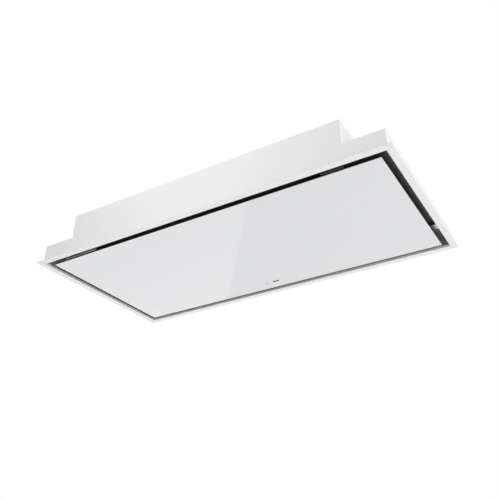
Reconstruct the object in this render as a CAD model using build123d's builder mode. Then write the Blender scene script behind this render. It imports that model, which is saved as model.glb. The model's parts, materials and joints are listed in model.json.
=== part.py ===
from build123d import *
import math
import os

os.makedirs("parts", exist_ok=True)

# Ceiling range hood. Millimetres, +Z up, +X along the hood, +Y towards the control side.
# Z = 0 is the ceiling's face: the frame hangs below it and the body stands above it.

# Sheet stock and clearances
sheet = 1.2                    # folded steel sheet of body, deck and fan scroll
bracket_stock = 3.0            # suspension brackets
fold_radius = 2.0              # outside radius of a folded corner
seat_clearance = 0.3           # between a piece and what it drops into
running_clearance = 0.05       # radial, between a pin and what turns on it

# Visible frame
frame_length = 1200.0
frame_width = 600.0
frame_face = 20.5              # width of the frame's face seen from below
frame_thickness = 3.0
frame_overhang = 16.0          # frame's edge to the body's wall
lip_height = 8.0               # turned-up inner edge, from the frame's underside
lip_relief = 0.4               # open corner between two lips
mitre_gap = 0.1                # hairline between two face strips at a corner

# Body
lower_height = 60.0            # ceiling face to the end shelves
body_height = 140.0            # ceiling face to the top cover
end_step = 117.0               # end shelf, from the lower wall to the upper wall
cover_rim = 14.0               # turned-down edge of the top cover

# Glass panel and its steel tray
panel_gap = 20.4               # suction gap round the panel
glass_thickness = 4.0
glass_edge = 0.6               # ground edge of the glass
tray_setback = 14.0            # glass edge to tray edge
tray_depth = 6.0
tray_sheet = 0.8
tray_notch = 3.0               # relief at the tray's folded corners
bar_width = 18.0               # stiffening bars on the tray
bar_height = 4.0
bar_count = 3
bar_inset = 60.0               # bar ends to the tray's edge
bar_margin = 115.0             # outer bars to the tray's edge
bar_taper = 20                 # degrees on the bars' sides

# Filter deck
deck_height = 30.0             # ceiling face to the deck's top
liner_foot = 0.5               # recess liner's lower edge above the ceiling face

# Grease filters
filter_count = 3
filter_gap = 15.0              # between one filter and the next
filter_end_margin = 17.0       # outer filters to the upper end plates
filter_far_margin = 57.0       # filters to the glass edge on the control side
filter_depth = 10.0
filter_border = 12.0
mesh_depth = 7.0
mesh_tuck = 3.0                # mesh held inside the border
deck_seal = 6.0                # deck under the filter's edge
rail_sheet = 1.5
rail_flange = 12.0
far_rail_reach = 8.0           # ledge under the filter's far edge
latch_width = 26.0
latch_thickness = 2.7
latch_bite = 8.7               # latch over the near rail's ledge
latch_tail = 34.0              # latch behind the filter's near edge
latch_tab = 6.0                # finger tab below the latch plate
guide_strap = 2.2
guide_post = 2.0
guide_length = 12.0
near_rail_gap = 3.0            # filter's near edge to the near rail's ledge
near_rail_clear = 3.5          # near rail's flange to the hinge plates

# Panel hinges
hinge_end_inset = 137.0        # hinge centre from the glass end
hinge_inset = 12.0             # hinge axis behind the glass edge
hinge_rise = 17.0              # hinge axis above the glass underside
hinge_plate_length = 104.0
hinge_plate = 2.0
hinge_plate_front = 11.0       # base plate in front of the axis
hinge_plate_back = 37.0        # base plate behind the axis
ear_spacing = 56.0
ear_thickness = 3.0
ear_radius = 6.0
barrel_radius = 5.0
hinge_pin_radius = 2.5
leaf_thickness = 2.0
leaf_foot = 38.0
pin_head = 1.5

# Magnetic catches
catch_inset = 84.0             # catch centre from the glass edge on the control side
catch_arm_width = 28.0
catch_arm_rise = 19.0          # arm's underside above the glass underside
catch_plate_length = 86.0
catch_stock = 2.0
catch_plate_rise = 13.0        # wall plate's lower edge above the glass underside
magnet_length = 16.0
magnet_width = 24.0
keeper_rise = 12.5             # keeper's top above the glass underside
keeper_stock = 2.0

# Receiver window and indicator, on the control side
receiver_x = -1.0
receiver_inset = 42.0          # window's centre from the glass edge
receiver_length = 22.0
receiver_width = 4.0
receiver_box_length = 60.0
receiver_box_width = 22.0
receiver_box_depth = 9.0
indicator_x = -34.0
indicator_radius = 1.2
lens_clearance = 0.2

# Fan
fan_y = -60.0
scroll_clear = 22.0            # deck to scroll
isolator_height = 4.8
spiral_start_radius = 128.0
spiral_start_angle = 100.0     # degrees from +X, at the scroll's cut-off
spiral_arcs = 4
impeller_radius = 112.0
impeller_bore_radius = 92.0    # inner edge of the blades
blade_count = 32
blade_thickness = 1.0
wheel_drop = 6.0               # blades' top below the rotor's top
blade_sagitta = 4.0
blade_lean = 12.0              # degrees the outer edge leads the inner one
shroud_thickness = 1.5
blade_foot = 9.0               # shroud above the scroll's floor
inlet_hole_radius = 100.0
inlet_throat_radius = 86.0
inlet_flange_radius = 116.0
inlet_rise = 8.0
bell_steps = 4                 # cones that make up the bellmouth
rotor_radius = 50.0
rotor_flange_radius = 60.0
rotor_flange = 2.0
rotor_height = 46.0
rotor_wall = 2.0
rotor_gap = 1.0
motor_base_radius = 46.0
motor_base_depth = 8.0
stator_radius = 40.0
stator_clearance = 3.0
shaft_radius = 4.0
hub_radius = 9.0
isolator_radius = 9.0
isolator_circle_radius = 105.0

# Outlet collar for flat duct and its butterfly damper
outlet_x = 0.0
collar_width = 218.0
collar_length = 60.0
collar_wall = 1.2
collar_flange = 12.0
collar_flange_thickness = 1.5
collar_corner = 6.0
damper_set_back = 12.0         # damper rod from the wall's face
damper_rod_radius = 2.0
damper_knuckle_radius = 3.6
damper_flap_thickness = 1.2
damper_edge_gap = 1.2
damper_knuckle_length = 24.0
damper_knuckle_pitch = 48.0    # from one knuckle of a flap to its next

# Electrics
control_box_length = 150.0
control_box_width = 96.0
control_box_depth = 48.0
control_box_wall = 2.5
control_lid = 2.0
control_box_end = 17.0         # box to the left upper end plate
control_box_side = 18.8        # box to the hinge-side wall
capacitor_radius = 18.0
capacitor_length = 62.0
capacitor_offset = 275.5       # along X from the fan's axis
capacitor_side = 67.8          # axis to the hinge-side wall
clip_stock = 1.5
clip_width = 20.0
clip_foot = 14.0
gland_side = 45.8              # gland's axis to the hinge-side wall
gland_drop = 34.0              # gland below the body's top
gland_bore_radius = 4.5
gland_thread_radius = 8.0
gland_nut_radius = 12.0
gland_nut = 6.0
gland_length = 30.0

# Suspension brackets for threaded rods
bracket_side = 92.8            # bracket's centre to the body's long walls
bracket_width = 40.0
bracket_reach = 62.0
bracket_leg = 40.0
bracket_lift = 44.0            # bracket's top above the end shelf
rod_offset = 36.0              # rod slot from the upper end plate
rod_slot_length = 22.0
rod_slot_radius = 4.5
gusset = 26.0

# Positions that follow from the sizes above
body_length = frame_length - 2 * frame_overhang
body_width = frame_width - 2 * frame_overhang
inner_length = body_length - 2 * sheet
inner_width = body_width - 2 * sheet
upper_length = body_length - 2 * end_step
opening_length = frame_length - 2 * frame_face
opening_width = frame_width - 2 * frame_face
panel_length = opening_length - 2 * panel_gap
panel_width = opening_width - 2 * panel_gap
tray_length = panel_length - 2 * tray_setback
tray_width = panel_width - 2 * tray_setback
glass_bottom = -frame_thickness
glass_top = glass_bottom + glass_thickness
tray_floor = glass_top + tray_sheet
deck_under = deck_height - sheet
deck_length = inner_length - 2 * seat_clearance
deck_width = inner_width - 2 * seat_clearance
cover_under = body_height - sheet
mouth_width = collar_width - 2 * collar_wall
spiral_inner_x = spiral_start_radius * math.cos(math.radians(spiral_start_angle))
fan_x = outlet_x - mouth_width / 2 - spiral_inner_x
scroll_bottom = deck_height + scroll_clear
scroll_top = cover_under - isolator_height
scroll_height = scroll_top - scroll_bottom
outlet_z = (scroll_bottom + scroll_top) / 2
collar_height = scroll_height + 2 * (collar_wall + seat_clearance)
hinge_x = panel_length / 2 - hinge_end_inset
hinge_y = -panel_width / 2 + hinge_inset
hinge_z = glass_bottom + hinge_rise
catch_y = panel_width / 2 - catch_inset
receiver_y = panel_width / 2 - receiver_inset


# Frame: four face strips, mitred at the corners
with BuildPart() as ceiling_frame:
    with BuildSketch(Plane.XY.offset(glass_bottom)):
        Rectangle(frame_length, frame_width)
        Rectangle(opening_length, opening_width, mode=Mode.SUBTRACT)
    extrude(amount=frame_thickness)
    outer_edges = ceiling_frame.faces().sort_by(Axis.Z)[0].outer_wire().edges()
    fillet(outer_edges, radius=frame_thickness / 4)
    with BuildSketch(Plane.XY.offset(glass_bottom)):
        for corner_x, corner_y in ((-1, -1), (1, -1), (1, 1), (-1, 1)):
            corner_middle = (
                corner_x * (frame_length - frame_face) / 2,
                corner_y * (frame_width - frame_face) / 2,
            )
            with Locations(corner_middle):
                Rectangle(2 * frame_face, mitre_gap, rotation=45 * corner_x * corner_y)
    extrude(amount=frame_thickness, mode=Mode.SUBTRACT)
ceiling_frame.part.label = "ceiling_frame"
export_step(ceiling_frame.part, "parts/ceiling_frame.step")

# Frame lip: the inner edges turned up into the recess, open at the corners
with BuildPart() as frame_lip:
    with BuildSketch(Plane.XY):
        for edge_side in (-1, 1):
            with Locations((0, edge_side * (opening_width + sheet) / 2)):
                Rectangle(opening_length - 2 * lip_relief, sheet)
            with Locations((edge_side * (opening_length + sheet) / 2, 0)):
                Rectangle(sheet, opening_width - 2 * lip_relief)
    extrude(amount=lip_height - frame_thickness)
frame_lip.part.label = "frame_lip"
export_step(frame_lip.part, "parts/frame_lip.step")


# Long walls: one stepped sheet for each side, from the frame to the top cover
def stepped_outline():
    half_lower = body_length / 2
    half_upper = upper_length / 2
    with BuildSketch() as outline:
        with BuildLine():
            Polyline(
                (-half_lower, 0),
                (half_lower, 0),
                (half_lower, lower_height),
                (half_upper, lower_height),
                (half_upper, body_height),
                (-half_upper, body_height),
                (-half_upper, lower_height),
                (-half_lower, lower_height),
                close=True,
            )
        make_face()
    return outline.sketch


with BuildPart() as hinge_side_wall:
    with BuildSketch(Plane.XZ.offset(body_width / 2)):
        add(stepped_outline())
    extrude(amount=-sheet)
hinge_side_wall.part.label = "hinge_side_wall"
export_step(hinge_side_wall.part, "parts/hinge_side_wall.step")

with BuildPart() as control_side_wall:
    with BuildSketch(Plane.XZ.offset(-body_width / 2)):
        add(stepped_outline())
        with Locations((outlet_x, outlet_z)):
            Rectangle(
                mouth_width,
                collar_height - 2 * collar_wall,
                mode=Mode.SUBTRACT,
            )
    extrude(amount=sheet)
control_side_wall.part.label = "control_side_wall"
export_step(control_side_wall.part, "parts/control_side_wall.step")


# Body ends: a folded shelf with its lower wall, and a flat plate standing on its inner edge
gland_y = -inner_width / 2 + gland_side
gland_z = body_height - gland_drop

for end_name, end_side in (("left", -1), ("right", 1)):
    lower_x = end_side * body_length / 2
    upper_x = end_side * upper_length / 2

    with BuildPart() as end_shelf:
        with BuildSketch(Plane.XZ.offset(-inner_width / 2)):
            with BuildLine():
                Polyline(
                    (lower_x, 0),
                    (lower_x, lower_height),
                    (upper_x, lower_height),
                    (upper_x, lower_height - sheet),
                    (lower_x - end_side * sheet, lower_height - sheet),
                    (lower_x - end_side * sheet, 0),
                    close=True,
                )
            make_face()
        extrude(amount=inner_width)
    end_shelf.part.label = f"end_shelf_{end_name}"
    export_step(end_shelf.part, f"parts/end_shelf_{end_name}.step")

    with BuildPart() as end_plate:
        with BuildSketch(Plane.YZ.offset(upper_x)):
            with Locations((0, (body_height + lower_height - sheet) / 2)):
                Rectangle(inner_width, body_height - lower_height + sheet)
            if end_name == "left":
                with Locations((gland_y, gland_z)):
                    Circle(gland_thread_radius + seat_clearance, mode=Mode.SUBTRACT)
        extrude(amount=-end_side * sheet)
    end_plate.part.label = f"end_plate_{end_name}"
    export_step(end_plate.part, f"parts/end_plate_{end_name}.step")


# Top cover: flat lid with a turned-down rim inside the walls
cover_length = upper_length - 2 * sheet - 2 * seat_clearance
cover_width = inner_width - 2 * seat_clearance

with BuildPart() as top_cover:
    with BuildSketch(Plane.XY.offset(cover_under)):
        Rectangle(cover_length, cover_width)
    extrude(amount=sheet)
    with BuildSketch(Plane.XY.offset(body_height - cover_rim)):
        Rectangle(cover_length, cover_width)
        Rectangle(cover_length - 2 * sheet, cover_width - 2 * sheet, mode=Mode.SUBTRACT)
    extrude(amount=cover_rim - sheet)
    with BuildSketch(Plane.XY.offset(body_height - cover_rim)):
        with Locations((outlet_x, cover_width / 2)):
            Rectangle(collar_width + 2 * collar_flange, 2 * collar_flange)
        with Locations((-cover_length / 2, gland_y)):
            Rectangle(2 * gland_nut_radius, 4 * gland_nut_radius)
    extrude(amount=cover_rim - sheet, mode=Mode.SUBTRACT)
top_cover.part.label = "top_cover"
export_step(top_cover.part, "parts/top_cover.step")


# Filter places: from the near rail, which clears the hinge plates, to the far margin
near_web = hinge_y + hinge_plate_back + near_rail_clear + rail_flange
latch_end = near_web + seat_clearance
ledge_edge = latch_end + latch_bite
filter_near = ledge_edge + near_rail_gap
filter_far = panel_width / 2 - filter_far_margin
filter_width = filter_far - filter_near
filter_center_y = (filter_near + filter_far) / 2
filters_span = upper_length - 2 * filter_end_margin
filter_length = (filters_span - (filter_count - 1) * filter_gap) / filter_count
filter_row = GridLocations(filter_length + filter_gap, 0, filter_count, 1)
filter_places = [(spot.position.X, filter_center_y) for spot in filter_row.locations]

# Filter deck: flat satin plate over the panel, with a window for each filter
with BuildPart() as filter_deck:
    with BuildSketch(Plane.XY.offset(deck_under)):
        Rectangle(deck_length, deck_width)
        with Locations(*filter_places):
            Rectangle(
                filter_length - 2 * deck_seal,
                filter_width - 2 * deck_seal,
                mode=Mode.SUBTRACT,
            )
    extrude(amount=sheet)
filter_deck.part.label = "filter_deck"
export_step(filter_deck.part, "parts/filter_deck.step")

# Recess liner: four satin strips that close the suction recess below the deck's edges
liner_height = deck_under - liner_foot
with BuildPart() as recess_liner:
    with BuildSketch(Plane.XY.offset(liner_foot)):
        with GridLocations(0, deck_width - sheet, 1, 2):
            Rectangle(deck_length, sheet)
        with GridLocations(deck_length - sheet, 0, 2, 1):
            Rectangle(sheet, deck_width - 2 * sheet - 2 * seat_clearance)
    extrude(amount=liner_height)
recess_liner.part.label = "recess_liner"
export_step(recess_liner.part, "parts/recess_liner.step")


# Rails under the deck: a ledge for the filters' far edge, one for their latches
filter_bottom = deck_under - filter_depth
latch_top = filter_bottom - seat_clearance
latch_bottom = latch_top - latch_thickness
ledge_top = latch_bottom - seat_clearance
rail_length = filters_span

far_web = filter_far + seat_clearance
with BuildPart() as far_filter_rail:
    with BuildSketch(Plane.YZ.offset(-rail_length / 2)):
        with BuildLine():
            Polyline(
                (far_web, deck_under),
                (far_web, filter_bottom),
                (filter_far - far_rail_reach, filter_bottom),
                (filter_far - far_rail_reach, filter_bottom - rail_sheet),
                (far_web + rail_sheet, filter_bottom - rail_sheet),
                (far_web + rail_sheet, deck_under - rail_sheet),
                (far_web + rail_flange, deck_under - rail_sheet),
                (far_web + rail_flange, deck_under),
                close=True,
            )
        make_face()
    extrude(amount=rail_length)
far_filter_rail.part.label = "far_filter_rail"
export_step(far_filter_rail.part, "parts/far_filter_rail.step")

with BuildPart() as near_filter_rail:
    with BuildSketch(Plane.YZ.offset(-rail_length / 2)):
        with BuildLine():
            Polyline(
                (near_web, deck_under),
                (near_web, ledge_top),
                (ledge_edge, ledge_top),
                (ledge_edge, ledge_top - rail_sheet),
                (near_web - rail_sheet, ledge_top - rail_sheet),
                (near_web - rail_sheet, deck_under - rail_sheet),
                (near_web - rail_flange, deck_under - rail_sheet),
                (near_web - rail_flange, deck_under),
                close=True,
            )
        make_face()
    extrude(amount=rail_length)
near_filter_rail.part.label = "near_filter_rail"
export_step(near_filter_rail.part, "parts/near_filter_rail.step")


# Grease filters: bordered cassette, mesh pack and sprung latch
mesh_length = filter_length - 2 * filter_border + 2 * mesh_tuck
mesh_width = filter_width - 2 * filter_border + 2 * mesh_tuck
mesh_bottom = filter_bottom + (filter_depth - mesh_depth) / 2
strap_width = latch_width + 2 * seat_clearance + 2 * guide_post
strap_y = filter_near + filter_border / 2

for filter_index, (filter_x, _) in enumerate(filter_places, start=1):
    with BuildPart() as filter_frame:
        with BuildSketch(Plane.XY.offset(filter_bottom)):
            with Locations((filter_x, filter_center_y)):
                RectangleRounded(filter_length, filter_width, fold_radius)
                Rectangle(
                    filter_length - 2 * filter_border,
                    filter_width - 2 * filter_border,
                    mode=Mode.SUBTRACT,
                )
        extrude(amount=filter_depth)
        with BuildSketch(Plane.XY.offset(mesh_bottom)):
            with Locations((filter_x, filter_center_y)):
                Rectangle(mesh_length, mesh_width)
        extrude(amount=mesh_depth, mode=Mode.SUBTRACT)
        with BuildSketch(Plane.XY.offset(ledge_top - guide_strap)):
            with Locations((filter_x, strap_y)):
                Rectangle(strap_width, guide_length)
        extrude(amount=filter_bottom - ledge_top + guide_strap)
        with BuildSketch(Plane.XY.offset(ledge_top)):
            with Locations((filter_x, strap_y)):
                Rectangle(latch_width + 2 * seat_clearance, guide_length)
        extrude(amount=filter_bottom - ledge_top, mode=Mode.SUBTRACT)
    filter_frame.part.label = f"filter_frame_{filter_index}"
    export_step(filter_frame.part, f"parts/filter_frame_{filter_index}.step")

    with BuildPart() as filter_mesh:
        with BuildSketch(Plane.XY.offset(mesh_bottom)):
            with Locations((filter_x, filter_center_y)):
                Rectangle(mesh_length, mesh_width)
        extrude(amount=mesh_depth)
    filter_mesh.part.label = f"filter_mesh_{filter_index}"
    export_step(filter_mesh.part, f"parts/filter_mesh_{filter_index}.step")

    latch_back = filter_near + latch_tail
    with BuildPart() as filter_latch:
        with BuildSketch(Plane.YZ.offset(filter_x - latch_width / 2)):
            with BuildLine():
                Polyline(
                    (latch_end, latch_top),
                    (latch_back, latch_top),
                    (latch_back, latch_bottom - latch_tab),
                    (latch_back - latch_thickness, latch_bottom - latch_tab),
                    (latch_back - latch_thickness, latch_bottom),
                    (latch_end, latch_bottom),
                    close=True,
                )
            make_face()
        extrude(amount=latch_width)
        latch_nose = filter_latch.edges().filter_by(Axis.Z).sort_by(Axis.Y)[:2]
        fillet(latch_nose, radius=latch_thickness)
    filter_latch.part.label = f"filter_latch_{filter_index}"
    export_step(filter_latch.part, f"parts/filter_latch_{filter_index}.step")


# Panel: glass sheet with slots for the receiver window and the indicator
with BuildPart() as panel_glass:
    with BuildSketch(Plane.XY.offset(glass_bottom)):
        RectangleRounded(panel_length, panel_width, fold_radius)
    extrude(amount=glass_thickness)
    rims = panel_glass.faces().filter_by(Axis.Z).edges()
    chamfer(rims, length=glass_edge)
    with BuildSketch(Plane.XY.offset(glass_bottom)):
        with Locations((receiver_x, receiver_y)):
            SlotOverall(receiver_length + 2 * lens_clearance, receiver_width + 2 * lens_clearance)
        with Locations((indicator_x, receiver_y)):
            Circle(indicator_radius + lens_clearance)
    extrude(amount=glass_thickness, mode=Mode.SUBTRACT)
panel_glass.part.label = "panel_glass"
export_step(panel_glass.part, "parts/panel_glass.step")


# Panel tray: steel sheet bonded to the glass, its corners notched for the folds
with BuildPart() as panel_tray:
    with BuildSketch(Plane.XY.offset(glass_top)):
        Rectangle(tray_length, tray_width - 2 * tray_notch)
        Rectangle(tray_length - 2 * tray_notch, tray_width)
        with Locations((receiver_x, receiver_y)):
            SlotOverall(
                receiver_length + 2 * lens_clearance, receiver_width + 2 * lens_clearance,
                mode=Mode.SUBTRACT,
            )
        with Locations((indicator_x, receiver_y)):
            Circle(indicator_radius + lens_clearance, mode=Mode.SUBTRACT)
    extrude(amount=tray_sheet)
panel_tray.part.label = "panel_tray"
export_step(panel_tray.part, "parts/panel_tray.step")

# Tray rim: the sheet's four edges, folded up and left open at the notched corners
with BuildPart() as tray_rim:
    with BuildSketch(Plane.XY.offset(tray_floor)):
        for edge_side in (-1, 1):
            with Locations((0, edge_side * (tray_width - tray_sheet) / 2)):
                Rectangle(tray_length - 2 * tray_notch, tray_sheet)
            with Locations((edge_side * (tray_length - tray_sheet) / 2, 0)):
                Rectangle(tray_sheet, tray_width - 2 * tray_notch)
    extrude(amount=tray_depth - tray_sheet)
tray_rim.part.label = "tray_rim"
export_step(tray_rim.part, "parts/tray_rim.step")

# Tray bars: round-ended stiffeners bonded along the sheet
with BuildPart() as tray_bars:
    bar_length = tray_length - 2 * bar_inset
    bar_pitch = (tray_width - 2 * bar_margin) / (bar_count - 1)
    with BuildSketch(Plane.XY.offset(tray_floor)):
        with GridLocations(0, bar_pitch, 1, bar_count):
            SlotOverall(bar_length, bar_width)
    extrude(amount=bar_height, taper=bar_taper)
tray_bars.part.label = "tray_bars"
export_step(tray_bars.part, "parts/tray_bars.step")


# Receiver: box on the tray, its window and the indicator lens flush with the glass
with BuildPart() as receiver_box:
    with BuildSketch(Plane.XY.offset(tray_floor)):
        with Locations(((receiver_x + indicator_x) / 2, receiver_y)):
            RectangleRounded(receiver_box_length, receiver_box_width, fold_radius)
    extrude(amount=receiver_box_depth)
    chamfer(receiver_box.faces().sort_by(Axis.Z)[-1].edges(), length=fold_radius / 2)
receiver_box.part.label = "receiver_box"
export_step(receiver_box.part, "parts/receiver_box.step")

with BuildPart() as receiver_window:
    with BuildSketch(Plane.XY.offset(glass_bottom)):
        with Locations((receiver_x, receiver_y)):
            SlotOverall(receiver_length, receiver_width)
    extrude(amount=tray_floor - glass_bottom)
receiver_window.part.label = "receiver_window"
export_step(receiver_window.part, "parts/receiver_window.step")

with BuildPart() as indicator_lens:
    with BuildSketch(Plane.XY.offset(glass_bottom)):
        with Locations((indicator_x, receiver_y)):
            Circle(indicator_radius)
    extrude(amount=tray_floor - glass_bottom)
indicator_lens.part.label = "indicator_lens"
export_step(indicator_lens.part, "parts/indicator_lens.step")


# Hinges: eared bracket under the deck, pin through the ears, leaf on the tray
plate_under = deck_under - hinge_plate

for side_name, side in (("left", -1), ("right", 1)):
    hinge_center = side * hinge_x

    with BuildPart() as hinge_bracket:
        with BuildSketch(Plane.XY.offset(plate_under)):
            with Locations((hinge_center, hinge_y + (hinge_plate_back - hinge_plate_front) / 2)):
                Rectangle(hinge_plate_length, hinge_plate_back + hinge_plate_front)
        extrude(amount=hinge_plate)
        for ear_side in (-1, 1):
            ear_x = hinge_center + ear_side * ear_spacing / 2
            with BuildSketch(Plane.YZ.offset(ear_x - ear_thickness / 2)):
                with Locations((hinge_y, hinge_z)):
                    Circle(ear_radius)
                with Locations((hinge_y, (hinge_z + plate_under) / 2)):
                    Rectangle(2 * ear_radius, plate_under - hinge_z)
                with Locations((hinge_y, hinge_z)):
                    Circle(hinge_pin_radius + running_clearance, mode=Mode.SUBTRACT)
            extrude(amount=ear_thickness)
    hinge_bracket.part.label = f"hinge_bracket_{side_name}"
    export_step(hinge_bracket.part, f"parts/hinge_bracket_{side_name}.step")

    pin_length = ear_spacing + ear_thickness + 2 * pin_head
    with BuildPart() as hinge_pin:
        with BuildSketch(Plane.YZ.offset(hinge_center - pin_length / 2)):
            with Locations((hinge_y, hinge_z)):
                Circle(hinge_pin_radius)
        extrude(amount=pin_length)
        for head_x in (hinge_center - pin_length / 2, hinge_center + pin_length / 2 - pin_head):
            with BuildSketch(Plane.YZ.offset(head_x)):
                with Locations((hinge_y, hinge_z)):
                    Circle(hinge_pin_radius + pin_head)
            extrude(amount=pin_head)
    hinge_pin.part.label = f"hinge_pin_{side_name}"
    export_step(hinge_pin.part, f"parts/hinge_pin_{side_name}.step")

    leaf_length = ear_spacing - ear_thickness - 2 * seat_clearance
    leaf_front = -tray_width / 2 + tray_sheet + seat_clearance
    leaf_back = leaf_front + leaf_thickness
    with BuildPart() as hinge_leaf:
        with BuildSketch(Plane.YZ.offset(hinge_center - leaf_length / 2)):
            with BuildLine():
                Polyline(
                    (leaf_front, hinge_z),
                    (leaf_back, hinge_z),
                    (leaf_back, tray_floor + leaf_thickness),
                    (leaf_back + leaf_foot, tray_floor + leaf_thickness),
                    (leaf_back + leaf_foot, tray_floor),
                    (leaf_front, tray_floor),
                    close=True,
                )
            make_face()
            with Locations((hinge_y, hinge_z)):
                Circle(barrel_radius)
                Circle(hinge_pin_radius + running_clearance, mode=Mode.SUBTRACT)
        extrude(amount=leaf_length)
    hinge_leaf.part.label = f"hinge_leaf_{side_name}"
    export_step(hinge_leaf.part, f"parts/hinge_leaf_{side_name}.step")

    # Catch: bracket from the recess liner, magnet under its arm, keeper on the tray
    liner_x = deck_length / 2 - sheet
    keeper_x = tray_length / 2 - tray_sheet - magnet_length / 2 - fold_radius
    arm_bottom = glass_bottom + catch_arm_rise
    keeper_top = glass_bottom + keeper_rise
    arm_tip = keeper_x - magnet_length / 2

    with BuildPart() as catch_bracket:
        plate_bottom = glass_bottom + catch_plate_rise
        plate_x = side * (liner_x - catch_stock / 2)
        with BuildSketch(Plane.XY.offset(plate_bottom)):
            with Locations((plate_x, catch_y + catch_arm_width / 2 - catch_plate_length / 2)):
                Rectangle(catch_stock, catch_plate_length)
        extrude(amount=deck_under - plate_bottom)
        with BuildSketch(Plane.XY.offset(arm_bottom)):
            with Locations((side * (arm_tip + liner_x) / 2, catch_y)):
                Rectangle(liner_x - arm_tip, catch_arm_width)
        extrude(amount=catch_stock)
        arm_corners = catch_bracket.edges().filter_by(Axis.Z).sort_by(Axis.X)
        tip_corners = arm_corners[:2] if side > 0 else arm_corners[-2:]
        fillet(tip_corners, radius=fold_radius)
    catch_bracket.part.label = f"catch_bracket_{side_name}"
    export_step(catch_bracket.part, f"parts/catch_bracket_{side_name}.step")

    with BuildPart() as catch_magnet:
        with BuildSketch(Plane.XY.offset(keeper_top + seat_clearance)):
            with Locations((side * keeper_x, catch_y)):
                RectangleRounded(magnet_length, magnet_width, fold_radius)
        extrude(amount=arm_bottom - keeper_top - seat_clearance)
    catch_magnet.part.label = f"catch_magnet_{side_name}"
    export_step(catch_magnet.part, f"parts/catch_magnet_{side_name}.step")

    with BuildPart() as catch_keeper:
        with BuildSketch(Plane.YZ.offset(side * keeper_x - magnet_length / 2)):
            with BuildLine():
                half_keeper = magnet_width / 2
                keeper_foot = half_keeper + magnet_width / 2
                Polyline(
                    (catch_y - keeper_foot, tray_floor),
                    (catch_y - keeper_foot, tray_floor + keeper_stock),
                    (catch_y - half_keeper, tray_floor + keeper_stock),
                    (catch_y - half_keeper, keeper_top),
                    (catch_y + half_keeper, keeper_top),
                    (catch_y + half_keeper, tray_floor + keeper_stock),
                    (catch_y + keeper_foot, tray_floor + keeper_stock),
                    (catch_y + keeper_foot, tray_floor),
                    (catch_y + half_keeper - keeper_stock, tray_floor),
                    (catch_y + half_keeper - keeper_stock, keeper_top - keeper_stock),
                    (catch_y - half_keeper + keeper_stock, keeper_top - keeper_stock),
                    (catch_y - half_keeper + keeper_stock, tray_floor),
                    close=True,
                )
            make_face()
        extrude(amount=magnet_length)
    catch_keeper.part.label = f"catch_keeper_{side_name}"
    export_step(catch_keeper.part, f"parts/catch_keeper_{side_name}.step")


# Fan scroll: a spiral casing that runs out into a straight mouth at the control-side wall
mouth_y = inner_width / 2 - seat_clearance
spiral_end_radius = spiral_inner_x + mouth_width


def spiral_radius(angle):
    turned = (angle - spiral_start_angle) / (360 - spiral_start_angle)
    return spiral_start_radius + turned * (spiral_end_radius - spiral_start_radius)


def spiral_point(angle, grow):
    radius = spiral_radius(angle) + grow
    turn = math.radians(angle)
    return (radius * math.cos(turn), radius * math.sin(turn))


def scroll_outline(grow):
    start_x = spiral_inner_x - grow
    start_y = math.sqrt((spiral_start_radius + grow) ** 2 - start_x**2)
    start_angle = math.degrees(math.atan2(start_y, start_x))
    step = (360 - start_angle) / spiral_arcs
    mouth_end = mouth_y - fan_y
    arc_start = (start_x, start_y)
    with BuildSketch() as outline:
        with BuildLine():
            for index in range(spiral_arcs):
                middle = spiral_point(start_angle + (index + 0.5) * step, grow)
                arc_end = spiral_point(start_angle + (index + 1) * step, grow)
                ThreePointArc(arc_start, middle, arc_end)
                arc_start = arc_end
            Polyline(
                arc_start,
                (spiral_end_radius + grow, mouth_end),
                (start_x, mouth_end),
                (start_x, start_y),
            )
        make_face()
    return outline.sketch


with BuildPart() as scroll_housing:
    with BuildSketch(Plane((fan_x, fan_y, scroll_bottom))):
        add(scroll_outline(sheet))
    extrude(amount=scroll_height)
    with BuildSketch(Plane((fan_x, fan_y, scroll_bottom + sheet))):
        add(scroll_outline(0))
    extrude(amount=scroll_height - 2 * sheet, mode=Mode.SUBTRACT)
    with BuildSketch(Plane((fan_x, fan_y, scroll_bottom))):
        Circle(inlet_hole_radius)
    extrude(amount=sheet, mode=Mode.SUBTRACT)
scroll_housing.part.label = "scroll_housing"
export_step(scroll_housing.part, "parts/scroll_housing.step")


# Inlet ring: flanged bellmouth below the scroll, its throat reaching into the impeller
fan_plane = Plane((fan_x, fan_y, 0), x_dir=(1, 0, 0), z_dir=(0, -1, 0))
bell_radius = inlet_hole_radius - seat_clearance - inlet_throat_radius


def bell_curve(grow):
    points = []
    for index in range(bell_steps + 1):
        turn = math.radians(90 * index / bell_steps)
        inward = (bell_radius - grow) * math.sin(turn)
        upward = (inlet_rise + sheet - grow) * (1 - math.cos(turn))
        radius = inlet_throat_radius + bell_radius - inward
        points.append((radius, scroll_bottom - sheet + grow + upward))
    return points


with BuildPart() as inlet_ring:
    with BuildSketch(fan_plane):
        with BuildLine():
            Polyline(
                (inlet_flange_radius, scroll_bottom),
                (inlet_flange_radius, scroll_bottom - sheet),
                *bell_curve(0),
                *reversed(bell_curve(sheet)),
                close=True,
            )
        make_face()
    revolve(axis=Axis((fan_x, fan_y, 0), (0, 0, 1)))
inlet_ring.part.label = "inlet_ring"
export_step(inlet_ring.part, "parts/inlet_ring.step")


# Impeller: forward-curved blades between a shroud ring and a back plate
shroud_bottom = scroll_bottom + sheet + blade_foot
blade_bottom = shroud_bottom + shroud_thickness
motor_base_bottom = scroll_top - sheet - motor_base_depth
rotor_top = motor_base_bottom - rotor_gap
blade_top = rotor_top - wheel_drop

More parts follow.
